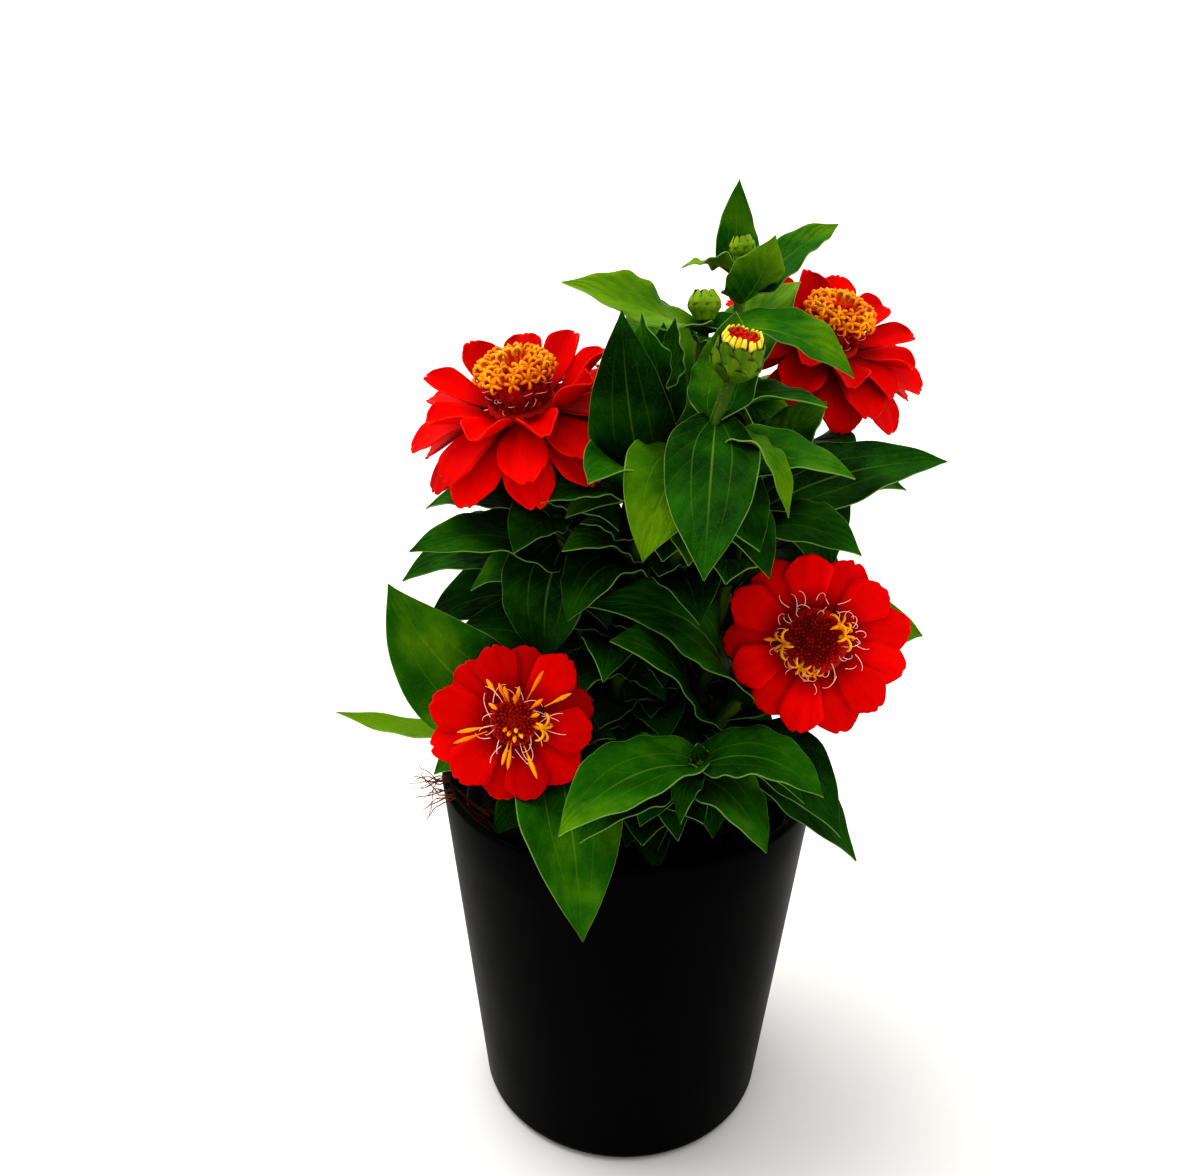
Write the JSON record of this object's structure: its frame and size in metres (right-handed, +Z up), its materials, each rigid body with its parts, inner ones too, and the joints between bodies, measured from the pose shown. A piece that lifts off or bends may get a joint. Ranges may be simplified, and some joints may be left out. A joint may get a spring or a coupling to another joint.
{
  "type": "potted plant",
  "caption": "Red zinnia in a smooth black tapered cover pot: upright leafy stems, double daisy-like blooms with yellow florets, and green scaly buds.",
  "frame": {"origin": "centre of the flat foot of the cover pot", "axes": "+Z up along the pot's axis, -Y the front, with the two low blooms, +X to the right as seen from the front"},
  "size_m": [0.2006, 0.1736, 0.3252],
  "materials": {
    "black_glaze": "satin black glaze, smooth, with soft grey highlights",
    "black_plastic": "thin moulded black plastic, dull",
    "peat": "dark moist peat, rough crumbs and fibres",
    "leaf_green": "living leaf, dull to satin, pale net of veins and thin pale edges",
    "petal_red": "soft matt petal, saturated scarlet, faint lengthwise ribs",
    "disc_maroon": "packed dark red unopened florets, matt",
    "floret_yellow": "soft orange-yellow florets, satin"
  },
  "bodies": {
    "root": {"cover_pot": "black_glaze", "grow_pot": "black_plastic", "potting_mix": "peat", "stem_opening_bud": "leaf_green", "stem_young_shoot": "leaf_green", "stem_round_bud": "leaf_green", "stem_small_bud": "leaf_green", "stem_left_high_bloom": "leaf_green", "stem_right_back_bloom": "leaf_green", "stem_back_bloom": "leaf_green", "stem_back_left_bud": "leaf_green", "stem_right_shoot": "leaf_green", "stem_right_low_bloom": "leaf_green", "stem_left_low_bloom": "leaf_green", "stem_front_shoot": "leaf_green", "petals_left_high": "petal_red", "petals_right_back": "petal_red", "petals_back": "petal_red", "petals_right_low": "petal_red", "petals_left_low": "petal_red", "disc_left_high": "disc_maroon", "disc_right_back": "disc_maroon", "disc_back": "disc_maroon", "disc_right_low": "disc_maroon", "disc_left_low": "disc_maroon", "ring_left_high": "floret_yellow", "ring_right_back": "floret_yellow", "ring_back": "floret_yellow"}
  },
  "joints": []
}
